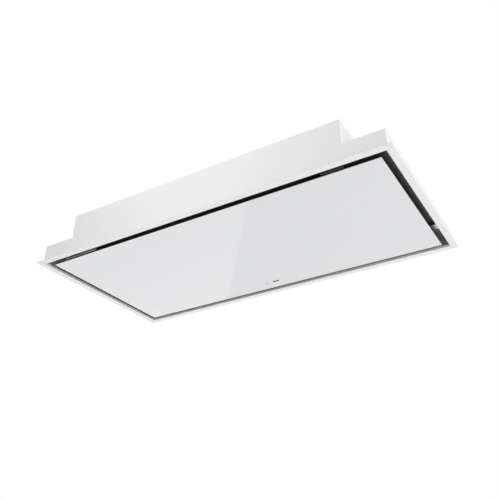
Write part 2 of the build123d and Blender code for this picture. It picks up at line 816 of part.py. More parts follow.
with BuildPart() as impeller:
    with BuildSketch(Plane((fan_x, fan_y, shroud_bottom))):
        Circle(impeller_radius)
        Circle(impeller_bore_radius, mode=Mode.SUBTRACT)
    extrude(amount=shroud_thickness)
    with BuildSketch(Plane((fan_x, fan_y, blade_top))):
        Circle(impeller_radius)
        Circle(rotor_radius + seat_clearance, mode=Mode.SUBTRACT)
    extrude(amount=shroud_thickness)
    with BuildSketch(Plane((fan_x, fan_y, blade_bottom))):
        with PolarLocations(0, blade_count):
            lean = math.radians(blade_lean)
            inner_end = (impeller_bore_radius, 0)
            outer_end = (impeller_radius * math.cos(lean), impeller_radius * math.sin(lean))
            with BuildLine():
                inner_arc = SagittaArc(inner_end, outer_end, blade_sagitta)
                outer_arc = SagittaArc(inner_end, outer_end, blade_sagitta + blade_thickness)
            make_face()
    extrude(amount=blade_top - blade_bottom)
impeller.part.label = "impeller"
export_step(impeller.part, "parts/impeller.step")


# Motor: fixed base, stator and shaft; the rotor can turns round them and carries the wheel
rotor_bottom = rotor_top - rotor_height
axis_of_fan = Axis((fan_x, fan_y, 0), (0, 0, 1))
bore_radius = shaft_radius + running_clearance

with BuildPart() as motor_base:
    with BuildSketch(fan_plane):
        with BuildLine():
            Polyline(
                (0, rotor_bottom),
                (shaft_radius, rotor_bottom),
                (shaft_radius, rotor_bottom + rotor_wall + stator_clearance + hub_radius),
                (stator_radius, rotor_bottom + rotor_wall + stator_clearance + hub_radius),
                (stator_radius, motor_base_bottom),
                (motor_base_radius, motor_base_bottom),
                (motor_base_radius, motor_base_bottom + motor_base_depth),
                (0, motor_base_bottom + motor_base_depth),
                close=True,
            )
        make_face()
    revolve(axis=axis_of_fan)
motor_base.part.label = "motor_base"
export_step(motor_base.part, "parts/motor_base.step")

with BuildPart() as motor_rotor:
    with BuildSketch(fan_plane):
        with BuildLine():
            Polyline(
                (bore_radius, rotor_bottom),
                (rotor_radius, rotor_bottom),
                (rotor_radius, blade_top - rotor_flange),
                (rotor_flange_radius, blade_top - rotor_flange),
                (rotor_flange_radius, blade_top),
                (rotor_radius, blade_top),
                (rotor_radius, rotor_top),
                (rotor_radius - rotor_wall, rotor_top),
                (rotor_radius - rotor_wall, rotor_bottom + rotor_wall),
                (hub_radius, rotor_bottom + rotor_wall),
                (hub_radius, rotor_bottom + rotor_wall + hub_radius),
                (bore_radius, rotor_bottom + rotor_wall + hub_radius),
                close=True,
            )
        make_face()
    revolve(axis=axis_of_fan)
motor_rotor.part.label = "motor_rotor"
export_step(motor_rotor.part, "parts/motor_rotor.step")

with BuildPart() as fan_isolators:
    with BuildSketch(Plane((fan_x, fan_y, scroll_top))):
        with PolarLocations(isolator_circle_radius, 4, start_angle=45):
            Circle(isolator_radius)
    extrude(amount=isolator_height)
fan_isolators.part.label = "fan_isolators"
export_step(fan_isolators.part, "parts/fan_isolators.step")


# Outlet collar: flanged rectangular spigot for flat duct
wall_face = body_width / 2
outlet_plane = Plane((outlet_x, wall_face, outlet_z), x_dir=(1, 0, 0), z_dir=(0, 1, 0))

with BuildPart() as outlet_collar:
    with BuildSketch(outlet_plane):
        Rectangle(collar_width + 2 * collar_flange, collar_height)
    extrude(amount=collar_flange_thickness)
    with BuildSketch(outlet_plane):
        RectangleRounded(collar_width, collar_height, collar_corner)
    extrude(amount=collar_length)
    with BuildSketch(outlet_plane):
        RectangleRounded(
            collar_width - 2 * collar_wall,
            collar_height - 2 * collar_wall,
            collar_corner - collar_wall,
        )
    extrude(amount=collar_length, mode=Mode.SUBTRACT)
    rod_plane = Plane.YZ.offset(outlet_x - collar_width / 2)
    with BuildSketch(rod_plane):
        with Locations((wall_face + damper_set_back, outlet_z)):
            Circle(damper_rod_radius + running_clearance)
    extrude(amount=collar_width, mode=Mode.SUBTRACT)
outlet_collar.part.label = "outlet_collar"
export_step(outlet_collar.part, "parts/outlet_collar.step")

damper_y = wall_face + damper_set_back
with BuildPart() as damper_rod:
    with BuildSketch(Plane.YZ.offset(outlet_x - collar_width / 2)):
        with Locations((damper_y, outlet_z)):
            Circle(damper_rod_radius)
    extrude(amount=collar_width)
damper_rod.part.label = "damper_rod"
export_step(damper_rod.part, "parts/damper_rod.step")

# Damper flaps: two leaves on one rod, their knuckles in turn along it
flap_length = collar_width - 2 * collar_wall - 2 * damper_edge_gap
flap_start = damper_knuckle_radius + seat_clearance
flap_end = collar_height / 2 - collar_wall - damper_edge_gap

for flap_name, flap_side in (("upper", 1), ("lower", -1)):
    with BuildPart() as damper_flap:
        with BuildSketch(Plane.XZ.offset(-damper_y + damper_flap_thickness / 2)):
            with Locations((outlet_x, outlet_z + flap_side * (flap_start + flap_end) / 2)):
                Rectangle(flap_length, flap_end - flap_start)
        extrude(amount=-damper_flap_thickness)
        far_corners = damper_flap.edges().filter_by(Axis.Y).sort_by(Axis.Z)
        outer_corners = far_corners[-2:] if flap_side > 0 else far_corners[:2]
        fillet(outer_corners, radius=collar_corner)
        knuckle_shift = flap_side * damper_knuckle_pitch / 4
        for knuckle_step in (-1.5, -0.5, 0.5, 1.5):
            knuckle_x = outlet_x + knuckle_step * damper_knuckle_pitch + knuckle_shift
            knuckle_length = damper_knuckle_length - 2 * seat_clearance
            with BuildSketch(Plane.YZ.offset(knuckle_x - knuckle_length / 2)):
                with Locations((damper_y, outlet_z)):
                    Circle(damper_knuckle_radius)
                with Locations((damper_y, outlet_z + flap_side * flap_start / 2)):
                    Rectangle(damper_flap_thickness, flap_start)
                with Locations((damper_y, outlet_z)):
                    Circle(damper_rod_radius + running_clearance, mode=Mode.SUBTRACT)
            extrude(amount=knuckle_length)
    damper_flap.part.label = f"damper_flap_{flap_name}"
    export_step(damper_flap.part, f"parts/damper_flap_{flap_name}.step")


# Control box under the top cover, open below and closed by its lid
control_box_x = -upper_length / 2 + control_box_end + control_box_length / 2
control_box_y = -inner_width / 2 + control_box_side + control_box_width / 2

with BuildPart() as control_box:
    with BuildSketch(Plane.XY.offset(cover_under - control_box_depth)):
        with Locations((control_box_x, control_box_y)):
            RectangleRounded(control_box_length, control_box_width, fold_radius)
    extrude(amount=control_box_depth)
    with BuildSketch(Plane.XY.offset(cover_under - control_box_depth)):
        with Locations((control_box_x, control_box_y)):
            Rectangle(
                control_box_length - 2 * control_box_wall,
                control_box_width - 2 * control_box_wall,
            )
    extrude(amount=control_box_depth - control_box_wall, mode=Mode.SUBTRACT)
control_box.part.label = "control_box"
export_step(control_box.part, "parts/control_box.step")

with BuildPart() as control_box_lid:
    with BuildSketch(Plane.XY.offset(cover_under - control_box_depth - control_lid)):
        with Locations((control_box_x, control_box_y)):
            RectangleRounded(control_box_length, control_box_width, fold_radius)
    extrude(amount=control_lid)
control_box_lid.part.label = "control_box_lid"
export_step(control_box_lid.part, "parts/control_box_lid.step")


# Motor capacitor and the clip that hangs it from the top cover
capacitor_x = fan_x + capacitor_offset
capacitor_y = -inner_width / 2 + capacitor_side
capacitor_z = cover_under - clip_stock - capacitor_radius
with BuildPart() as capacitor:
    with BuildSketch(Plane.YZ.offset(capacitor_x - capacitor_length / 2)):
        with Locations((capacitor_y, capacitor_z)):
            Circle(capacitor_radius)
    extrude(amount=capacitor_length)
    chamfer(capacitor.edges().filter_by(GeomType.CIRCLE), length=fold_radius)
capacitor.part.label = "capacitor"
export_step(capacitor.part, "parts/capacitor.step")

clip_outer = capacitor_radius + clip_stock
with BuildPart() as capacitor_clip:
    with BuildSketch(Plane.YZ.offset(capacitor_x - clip_width / 2)):
        with Locations((capacitor_y, capacitor_z)):
            Circle(clip_outer)
        with Locations((capacitor_y, cover_under - clip_stock / 2)):
            Rectangle(2 * (clip_outer + clip_foot), clip_stock)
        with Locations((capacitor_y, (capacitor_z + cover_under) / 2)):
            Rectangle(2 * clip_outer, cover_under - capacitor_z)
        with Locations((capacitor_y, (capacitor_z + cover_under) / 2)):
            Rectangle(2 * (clip_outer - clip_stock), cover_under - capacitor_z, mode=Mode.SUBTRACT)
        with Locations((capacitor_y, capacitor_z)):
            Circle(capacitor_radius, mode=Mode.SUBTRACT)
        with Locations((capacitor_y, cover_under - clip_stock / 2)):
            Rectangle(2 * clip_outer, clip_stock)
    extrude(amount=clip_width)
capacitor_clip.part.label = "capacitor_clip"
export_step(capacitor_clip.part, "parts/capacitor_clip.step")


# Cable gland through the left end plate, its bore open for the supply cable
gland_wall_x = -upper_length / 2
with BuildPart() as cable_gland:
    with BuildSketch(Plane.YZ.offset(gland_wall_x - gland_nut)):
        with Locations((gland_y, gland_z)):
            RegularPolygon(gland_nut_radius, 6)
    extrude(amount=gland_nut)
    with BuildSketch(Plane.YZ.offset(gland_wall_x - gland_nut - gland_length / 3)):
        with Locations((gland_y, gland_z)):
            Circle(gland_thread_radius + sheet)
    extrude(amount=gland_length / 3)
    with BuildSketch(Plane.YZ.offset(gland_wall_x)):
        with Locations((gland_y, gland_z)):
            Circle(gland_thread_radius)
    extrude(amount=gland_nut + 2 * sheet)
    with BuildSketch(Plane.YZ.offset(gland_wall_x + sheet)):
        with Locations((gland_y, gland_z)):
            RegularPolygon(gland_nut_radius, 6)
    extrude(amount=gland_nut / 2)
    with BuildSketch(Plane.YZ.offset(gland_wall_x - gland_nut - gland_length / 3)):
        with Locations((gland_y, gland_z)):
            Circle(gland_bore_radius)
    extrude(amount=gland_length + gland_nut, mode=Mode.SUBTRACT)
cable_gland.part.label = "cable_gland"
export_step(cable_gland.part, "parts/cable_gland.step")


# Suspension brackets: gusseted angles on the upper end plates, slotted for the hanging rods
bracket_y_centre = inner_width / 2 - bracket_side
bracket_top = lower_height + bracket_lift
bracket_spots = []
for x_side in (-1, 1):
    for y_side in (-1, 1):
        bracket_spots.append((x_side, y_side * bracket_y_centre))

for bracket_index, (x_side, bracket_y) in enumerate(bracket_spots, start=1):
    wall_x = x_side * upper_length / 2
    with BuildPart() as suspension_bracket:
        with BuildSketch(Plane.XZ.offset(-bracket_y - bracket_width / 2)):
            with BuildLine():
                Polyline(
                    (wall_x, bracket_top - bracket_leg),
                    (wall_x, bracket_top),
                    (wall_x + x_side * bracket_reach, bracket_top),
                    (wall_x + x_side * bracket_reach, bracket_top - bracket_stock),
                    (wall_x + x_side * bracket_stock, bracket_top - bracket_stock),
                    (wall_x + x_side * bracket_stock, bracket_top - bracket_leg),
                    close=True,
                )
            make_face()
        extrude(amount=bracket_width)
        for rib_y in (
            bracket_y - bracket_width / 2,
            bracket_y + bracket_width / 2 - bracket_stock,
        ):
            with BuildSketch(Plane.XZ.offset(-rib_y)):
                with BuildLine():
                    inner_x = wall_x + x_side * bracket_stock
                    inner_z = bracket_top - bracket_stock
                    Polyline(
                        (inner_x, inner_z),
                        (inner_x + x_side * gusset, inner_z),
                        (inner_x, inner_z - gusset),
                        close=True,
                    )
                make_face()
            extrude(amount=-bracket_stock)
        with BuildSketch(Plane.XY.offset(bracket_top - bracket_stock)):
            with Locations((wall_x + x_side * rod_offset, bracket_y)):
                SlotOverall(rod_slot_length, 2 * rod_slot_radius)
        extrude(amount=bracket_stock, mode=Mode.SUBTRACT)
    suspension_bracket.part.label = f"suspension_bracket_{bracket_index}"
    export_step(suspension_bracket.part, f"parts/suspension_bracket_{bracket_index}.step")
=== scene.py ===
import json
import math

import bmesh
import bpy
from mathutils import Matrix, Vector


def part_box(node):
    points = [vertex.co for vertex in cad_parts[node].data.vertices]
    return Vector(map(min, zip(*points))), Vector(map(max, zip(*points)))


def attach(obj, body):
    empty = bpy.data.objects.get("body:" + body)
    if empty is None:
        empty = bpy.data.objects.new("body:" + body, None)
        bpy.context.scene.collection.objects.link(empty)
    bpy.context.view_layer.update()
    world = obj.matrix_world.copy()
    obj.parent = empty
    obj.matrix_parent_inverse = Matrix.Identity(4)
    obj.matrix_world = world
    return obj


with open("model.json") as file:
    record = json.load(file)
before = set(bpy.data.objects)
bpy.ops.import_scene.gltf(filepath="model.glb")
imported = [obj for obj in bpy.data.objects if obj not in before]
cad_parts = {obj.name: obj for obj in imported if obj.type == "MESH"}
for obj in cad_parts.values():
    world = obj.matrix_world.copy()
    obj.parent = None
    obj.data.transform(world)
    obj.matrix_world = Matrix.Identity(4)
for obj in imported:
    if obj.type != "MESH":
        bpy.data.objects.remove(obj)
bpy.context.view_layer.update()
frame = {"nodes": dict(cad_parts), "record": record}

nodeObjects = frame["nodes"]
slotOfNode = {row["node"]: row["material_slot"] for row in frame["record"]["subparts"]}


def boxOf(nodeName):
    low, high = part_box(nodeName)
    return Vector(low), Vector(high)


# Camera: the photograph's view from below, in front and to the right
viewpoint = {
    "place": (0.932824, -1.517814, -0.958756),
    "azimuth": -30.866,  # degrees from +Y
    "elevation": 28.680,
    "roll": -0.123,
    "lens": 45.968,
    "sensor": 36.0,
    "clipEnd": 60.0,
}


def makeCamera(settings):
    azimuth = math.radians(settings["azimuth"])
    elevation = math.radians(settings["elevation"])
    roll = math.radians(settings["roll"])
    forward = Vector((
        math.sin(azimuth) * math.cos(elevation),
        math.cos(azimuth) * math.cos(elevation),
        math.sin(elevation),
    ))
    right = forward.cross(Vector((0, 0, 1))).normalized()
    up = right.cross(forward)
    turnedRight = math.cos(roll) * right + math.sin(roll) * up
    turnedUp = -math.sin(roll) * right + math.cos(roll) * up
    cameraData = bpy.data.cameras.new("kitchenCamera")
    cameraData.lens = settings["lens"]
    cameraData.sensor_width = settings["sensor"]
    cameraData.clip_end = settings["clipEnd"]
    camera = bpy.data.objects.new("kitchenCamera", cameraData)
    bpy.context.scene.collection.objects.link(camera)
    turn = Matrix((turnedRight, turnedUp, -forward)).transposed()
    camera.matrix_world = Matrix.Translation(settings["place"]) @ turn.to_4x4()
    bpy.context.scene.camera = camera


makeCamera(viewpoint)
bpy.context.scene.view_settings.view_transform = "Standard"
print("camera placed")


# Shader nodes: short ways to join, add and set them
def link(tree, source, target):
    tree.links.new(source, target)


def addNode(tree, kind, **values):
    node = tree.nodes.new(kind)
    for key, value in values.items():
        setattr(node, key, value)
    return node


def setInputs(node, **values):
    for key, value in values.items():
        node.inputs[key.replace("_", " ")].default_value = value
    return node


def grey(level):
    return (level, level, level, 1.0)


def newGroup(name, inputs, outputs):
    group = bpy.data.node_groups.new(name, "ShaderNodeTree")
    for socketName, kind, default in inputs:
        socket = group.interface.new_socket(socketName, in_out="INPUT", socket_type=kind)
        if default is not None:
            socket.default_value = default
    for socketName, kind in outputs:
        group.interface.new_socket(socketName, in_out="OUTPUT", socket_type=kind)
    start = group.nodes.new("NodeGroupInput")
    end = group.nodes.new("NodeGroupOutput")
    return group, start, end


def placeGroup(tree, group, **values):
    node = tree.nodes.new("ShaderNodeGroup")
    node.node_tree = group
    return setInputs(node, **values)


# Powder coat: fine orange peel over a slow waviness of the sheet
def makePeelGroup():
    peelShare = 0.35
    group, start, end = newGroup(
        "orangePeel",
        [("Scale", "NodeSocketFloat", 900.0), ("Wave", "NodeSocketFloat", 6.0)],
        [("Height", "NodeSocketFloat"), ("Cloud", "NodeSocketFloat")],
    )
    coords = group.nodes.new("ShaderNodeTexCoord")
    peel = setInputs(group.nodes.new("ShaderNodeTexNoise"), Detail=2.0, Roughness=0.55)
    wave = setInputs(group.nodes.new("ShaderNodeTexNoise"), Detail=3.0, Roughness=0.5)
    mix = addNode(group, "ShaderNodeMath", operation="MULTIPLY_ADD")
    link(group, coords.outputs["Object"], peel.inputs["Vector"])
    link(group, coords.outputs["Object"], wave.inputs["Vector"])
    link(group, start.outputs["Scale"], peel.inputs["Scale"])
    link(group, start.outputs["Wave"], wave.inputs["Scale"])
    link(group, peel.outputs["Fac"], mix.inputs[0])
    mix.inputs[1].default_value = peelShare
    link(group, wave.outputs["Fac"], mix.inputs[2])
    link(group, mix.outputs[0], end.inputs["Height"])
    link(group, wave.outputs["Fac"], end.inputs["Cloud"])
    return group


# Rolled or brushed sheet: streaks drawn out along one axis
def makeStreakGroup():
    broadShare = 0.5
    group, start, end = newGroup(
        "sheetStreaks",
        [("Stretch", "NodeSocketVector", None), ("Fine", "NodeSocketFloat", 1.0)],
        [("Tone", "NodeSocketFloat"), ("Height", "NodeSocketFloat")],
    )
    coords = group.nodes.new("ShaderNodeTexCoord")
    pull = addNode(group, "ShaderNodeVectorMath", operation="MULTIPLY")
    broad = setInputs(group.nodes.new("ShaderNodeTexNoise"), Detail=4.0, Roughness=0.6)
    fine = setInputs(group.nodes.new("ShaderNodeTexNoise"), Scale=3.7, Detail=5.0, Roughness=0.7)
    blend = addNode(group, "ShaderNodeMath", operation="MULTIPLY_ADD")
    scale = addNode(group, "ShaderNodeMath", operation="MULTIPLY")
    link(group, coords.outputs["Object"], pull.inputs[0])
    link(group, start.outputs["Stretch"], pull.inputs[1])
    link(group, pull.outputs[0], broad.inputs["Vector"])
    link(group, pull.outputs[0], fine.inputs["Vector"])
    broad.inputs["Scale"].default_value = 1.0
    link(group, fine.outputs["Fac"], scale.inputs[0])
    link(group, start.outputs["Fine"], scale.inputs[1])
    link(group, broad.outputs["Fac"], blend.inputs[0])
    blend.inputs[1].default_value = broadShare
    link(group, scale.outputs[0], blend.inputs[2])
    link(group, blend.outputs[0], end.inputs["Tone"])
    link(group, fine.outputs["Fac"], end.inputs["Height"])
    return group


# Zinc spangle: flat crystals of slightly different brightness
def makeSpangleGroup():
    driftReach = 0.006
    group, start, end = newGroup(
        "zincSpangle",
        [("Scale", "NodeSocketFloat", 90.0)],
        [("Tone", "NodeSocketFloat"), ("Height", "NodeSocketFloat")],
    )
    coords = group.nodes.new("ShaderNodeTexCoord")
    drift = setInputs(group.nodes.new("ShaderNodeTexNoise"), Scale=60.0, Detail=2.0)
    push = addNode(group, "ShaderNodeVectorMath", operation="MULTIPLY_ADD")
    cells = addNode(group, "ShaderNodeTexVoronoi", feature="F1")
    tone = group.nodes.new("ShaderNodeSeparateColor")
    link(group, coords.outputs["Object"], drift.inputs["Vector"])
    link(group, drift.outputs["Color"], push.inputs[0])
    push.inputs[1].default_value = (driftReach, driftReach, driftReach)
    link(group, coords.outputs["Object"], push.inputs[2])
    link(group, push.outputs[0], cells.inputs["Vector"])
    link(group, start.outputs["Scale"], cells.inputs["Scale"])
    link(group, cells.outputs["Color"], tone.inputs["Color"])
    link(group, tone.outputs["Red"], end.inputs["Tone"])
    link(group, cells.outputs["Distance"], end.inputs["Height"])
    return group


# Handling: faint soft patches where hands and cloths have been
def makeHandlingGroup():
    group, start, end = newGroup(
        "handling",
        [
            ("Scale", "NodeSocketFloat", 9.0), ("Low", "NodeSocketFloat", 0.45),
            ("High", "NodeSocketFloat", 0.75),
        ],
        [("Mask", "NodeSocketFloat")],
    )
    coords = group.nodes.new("ShaderNodeTexCoord")
    cloud = setInputs(group.nodes.new("ShaderNodeTexNoise"), Detail=6.0, Roughness=0.62, Distortion=0.6)
    ramp = addNode(group, "ShaderNodeMapRange", clamp=True)
    link(group, coords.outputs["Object"], cloud.inputs["Vector"])
    link(group, start.outputs["Scale"], cloud.inputs["Scale"])
    link(group, cloud.outputs["Fac"], ramp.inputs["Value"])
    link(group, start.outputs["Low"], ramp.inputs["From Min"])
    link(group, start.outputs["High"], ramp.inputs["From Max"])
    link(group, ramp.outputs["Result"], end.inputs["Mask"])
    return group


# Rounded arrises: a softened normal, and a mask that is 1 along folded and cut edges
def makeArrisGroup():
    arrisRadius = 0.0007
    group, start, end = newGroup(
        "softArris",
        [("Gain", "NodeSocketFloat", 3.0)],
        [("Normal", "NodeSocketVector"), ("Mask", "NodeSocketFloat")],
    )
    rounded = addNode(group, "ShaderNodeBevel", samples=4)
    rounded.inputs["Radius"].default_value = arrisRadius
    flat = group.nodes.new("ShaderNodeNewGeometry")
    dot = addNode(group, "ShaderNodeVectorMath", operation="DOT_PRODUCT")
    fall = addNode(group, "ShaderNodeMath", operation="SUBTRACT")
    gain = addNode(group, "ShaderNodeMath", operation="MULTIPLY", use_clamp=True)
    link(group, rounded.outputs["Normal"], dot.inputs[0])
    link(group, flat.outputs["Normal"], dot.inputs[1])
    fall.inputs[0].default_value = 1.0
    link(group, dot.outputs["Value"], fall.inputs[1])
    link(group, fall.outputs[0], gain.inputs[0])
    link(group, start.outputs["Gain"], gain.inputs[1])
    link(group, rounded.outputs["Normal"], end.inputs["Normal"])
    link(group, gain.outputs[0], end.inputs["Mask"])
    return group


peelGroup = makePeelGroup()
streakGroup = makeStreakGroup()
spangleGroup = makeSpangleGroup()
handlingGroup = makeHandlingGroup()
arrisGroup = makeArrisGroup()


def newMaterial(name, **values):
    material = bpy.data.materials.new(name)
    material.use_nodes = True
    tree = material.node_tree
    shader = tree.nodes["Principled BSDF"]
    setInputs(shader, **values)
    return material, tree, shader


def mixColors(tree, factor, first, second):
    mix = addNode(tree, "ShaderNodeMix", data_type="RGBA")
    mix.inputs["A"].default_value = first
    mix.inputs["B"].default_value = second
    link(tree, factor, mix.inputs["Factor"])
    return mix.outputs["Result"]


# One colour laid over another wherever the mask is 1
def coverColor(tree, mask, under, over):
    mix = addNode(tree, "ShaderNodeMix", data_type="RGBA")
    mix.inputs["B"].default_value = over
    link(tree, mask, mix.inputs["Factor"])
    link(tree, under, mix.inputs["A"])
    return mix.outputs["Result"]


def stretchValue(tree, value, low, high):
    ramp = addNode(tree, "ShaderNodeMapRange", clamp=True)
    ramp.inputs["To Min"].default_value = low
    ramp.inputs["To Max"].default_value = high
    link(tree, value, ramp.inputs["Value"])
    return ramp.outputs["Result"]


def bumpNormal(tree, height, distance, strength, base=None):
    bump = addNode(tree, "ShaderNodeBump")
    bump.inputs["Distance"].default_value = distance
    bump.inputs["Strength"].default_value = strength
    link(tree, height, bump.inputs["Height"])
    if base is not None:
        link(tree, base, bump.inputs["Normal"])
    return bump.outputs["Normal"]


def makeCoated(name, settings):
    material, tree, shader = newMaterial(name, IOR=settings["ior"], Metallic=0.0)
    peel = placeGroup(tree, peelGroup, Scale=settings["peelScale"], Wave=settings["wave"])
    arris = placeGroup(tree, arrisGroup, Gain=settings["edgeGain"])
    handling = placeGroup(tree, handlingGroup, Scale=settings["handlingScale"])
    body = mixColors(tree, peel.outputs["Cloud"], settings["tone"], settings["otherTone"])
    edged = coverColor(tree, arris.outputs["Mask"], body, settings["edgeTone"])
    link(tree, edged, shader.inputs["Base Color"])
    rough = stretchValue(tree, handling.outputs["Mask"], *settings["roughness"])
    link(tree, rough, shader.inputs["Roughness"])
    normal = bumpNormal(
        tree, peel.outputs["Height"], settings["peelDepth"], settings["peelStrength"],
        arris.outputs["Normal"],
    )
    link(tree, normal, shader.inputs["Normal"])
    return material


def makeSheetMetal(name, settings):
    material, tree, shader = newMaterial(name, Metallic=settings["metallic"])
    shader.inputs["Anisotropic"].default_value = settings.get("anisotropic", 0.0)
    arris = placeGroup(tree, arrisGroup, Gain=settings["edgeGain"])
    handling = placeGroup(tree, handlingGroup, Scale=settings["handlingScale"])
    if settings["pattern"] == "spangle":
        pattern = placeGroup(tree, spangleGroup, Scale=settings["scale"])
    else:
        pattern = placeGroup(tree, streakGroup, Stretch=settings["stretch"], Fine=settings["fine"])
    body = mixColors(tree, pattern.outputs["Tone"], settings["tone"], settings["otherTone"])
    edged = coverColor(tree, arris.outputs["Mask"], body, settings["edgeTone"])
    link(tree, edged, shader.inputs["Base Color"])
    spread = addNode(tree, "ShaderNodeMath", operation="MULTIPLY_ADD")
    link(tree, handling.outputs["Mask"], spread.inputs[0])
    spread.inputs[1].default_value = settings["smear"]
    link(tree, stretchValue(tree, pattern.outputs["Tone"], *settings["roughness"]), spread.inputs[2])
    link(tree, spread.outputs[0], shader.inputs["Roughness"])
    normal = bumpNormal(
        tree, pattern.outputs["Height"], settings["depth"], settings["strength"], arris.outputs["Normal"],
    )
    link(tree, normal, shader.inputs["Normal"])
    return material


finishes = {}

finishes["white_paint"] = makeCoated("whitePowderCoat", {
    "ior": 1.48, "peelScale": 1100.0, "wave": 5.0, "edgeGain": 3.0, "handlingScale": 7.0,
    "tone": grey(0.855), "otherTone": grey(0.875), "edgeTone": grey(0.93),
    "roughness": (0.36, 0.44), "peelDepth": 0.00006, "peelStrength": 0.25,
})
finishes["motor_black"] = makeCoated("motorEnamel", {
    "ior": 1.5, "peelScale": 1500.0, "wave": 30.0, "edgeGain": 3.0, "handlingScale": 30.0,
    "tone": grey(0.022), "otherTone": grey(0.032), "edgeTone": grey(0.06),
    "roughness": (0.30, 0.45), "peelDepth": 0.0001, "peelStrength": 0.4,
})
finishes["magnet"] = makeCoated("ferrite", {
    "ior": 1.6, "peelScale": 3200.0, "wave": 120.0, "edgeGain": 3.0, "handlingScale": 60.0,
    "tone": grey(0.018), "otherTone": grey(0.035), "edgeTone": grey(0.08),
    "roughness": (0.45, 0.60), "peelDepth": 0.0001, "peelStrength": 0.6,
})
finishes["isolator_rubber"] = makeCoated("isolatorRubber", {
    "ior": 1.45, "peelScale": 2600.0, "wave": 90.0, "edgeGain": 2.0, "handlingScale": 50.0,
    "tone": grey(0.020), "otherTone": grey(0.030), "edgeTone": grey(0.05),
    "roughness": (0.72, 0.85), "peelDepth": 0.0001, "peelStrength": 0.5,
})
finishes["black_plastic"] = makeCoated("blackMoulding", {
    "ior": 1.46, "peelScale": 2400.0, "wave": 40.0, "edgeGain": 3.0, "handlingScale": 25.0,
    "tone": grey(0.028), "otherTone": grey(0.038), "edgeTone": grey(0.075),
    "roughness": (0.48, 0.62), "peelDepth": 0.0002, "peelStrength": 0.5,
})
finishes["capacitor_can"] = makeCoated("capacitorCan", {
    "ior": 1.46, "peelScale": 700.0, "wave": 40.0, "edgeGain": 3.0, "handlingScale": 25.0,
    "tone": grey(0.72), "otherTone": grey(0.76), "edgeTone": grey(0.84),
    "roughness": (0.25, 0.40), "peelDepth": 0.0001, "peelStrength": 0.3,
})
finishes["galvanised_steel"] = makeSheetMetal("galvanisedSheet", {
    "metallic": 0.85, "pattern": "spangle", "scale": 95.0, "edgeGain": 3.0, "handlingScale": 8.0,
    "tone": (0.56, 0.58, 0.60, 1), "otherTone": (0.68, 0.70, 0.72, 1), "edgeTone": grey(0.80),
    "roughness": (0.34, 0.46), "smear": 0.06, "depth": 0.00005, "strength": 0.15,
})
finishes["stainless_steel"] = makeSheetMetal("satinStainless", {
    "metallic": 1.0, "pattern": "streaks", "stretch": (6.0, 900.0, 900.0), "fine": 0.5, "edgeGain": 3.0,
    "handlingScale": 12.0, "anisotropic": 0.35,
    "tone": (0.44, 0.45, 0.46, 1), "otherTone": (0.58, 0.59, 0.60, 1), "edgeTone": grey(0.74),
    "roughness": (0.24, 0.36), "smear": 0.05, "depth": 0.00003, "strength": 0.25,
})
finishes["filter_aluminium"] = makeSheetMetal("satinAluminium", {
    "metallic": 1.0, "pattern": "streaks", "stretch": (8.0, 700.0, 700.0), "fine": 0.5, "edgeGain": 3.0,
    "handlingScale": 16.0, "anisotropic": 0.2,
    "tone": (0.70, 0.71, 0.72, 1), "otherTone": (0.82, 0.83, 0.84, 1), "edgeTone": grey(0.92),
    "roughness": (0.28, 0.40), "smear": 0.06, "depth": 0.00003, "strength": 0.25,
})
finishes["plated_steel"] = makeSheetMetal("zincPlated", {
    "metallic": 1.0, "pattern": "streaks", "stretch": (60.0, 900.0, 900.0), "fine": 0.5, "edgeGain": 3.0,
    "handlingScale": 40.0,
    "tone": (0.66, 0.67, 0.68, 1), "otherTone": (0.78, 0.78, 0.76, 1), "edgeTone": grey(0.90),
    "roughness": (0.20, 0.32), "smear": 0.06, "depth": 0.00003, "strength": 0.2,
})


# Filter pack: layers of expanded mesh seen one behind the other, with the gaps between the wires painted
# near black as painted shade of the pack's depth
def makeMeshPack(settings):
    material, tree, shader = newMaterial("layeredMesh", Metallic=0.9)
    coords = tree.nodes.new("ShaderNodeTexCoord")
    layers = []
    for angle, pitch in settings["layers"]:
        turn = addNode(tree, "ShaderNodeMapping")
        turn.inputs["Rotation"].default_value = (0, 0, math.radians(angle))
        turn.inputs["Scale"].default_value = (1 / pitch, 1 / pitch, 1 / pitch)
        wave = addNode(tree, "ShaderNodeTexWave", wave_type="BANDS", bands_direction="X")
        setInputs(wave, Scale=1.0, Distortion=0.4, Detail=1.0)
        link(tree, coords.outputs["Object"], turn.inputs["Vector"])
        link(tree, turn.outputs["Vector"], wave.inputs["Vector"])
        layers.append(wave.outputs["Fac"])
    top = addNode(tree, "ShaderNodeMath", operation="MAXIMUM")
    link(tree, layers[0], top.inputs[0])
    link(tree, layers[1], top.inputs[1])
    wires = top.outputs[0]
    # Between the wires the pack's depth is painted as near-black shade
    tone = mixColors(tree, wires, settings["gapShadeTone"], settings["wireTone"])
    rough = stretchValue(tree, wires, *settings["roughness"])
    normal = bumpNormal(tree, wires, settings["depth"], settings["strength"])
    link(tree, tone, shader.inputs["Base Color"])
    link(tree, rough, shader.inputs["Roughness"])
    link(tree, normal, shader.inputs["Normal"])
    return material


finishes["filter_mesh"] = makeMeshPack({
    "layers": ((62.0, 0.0031), (-62.0, 0.0031)), "gapShadeTone": grey(0.06), "wireTone": grey(0.62),
    "roughness": (0.75, 0.38), "depth": 0.002, "strength": 0.8,
})
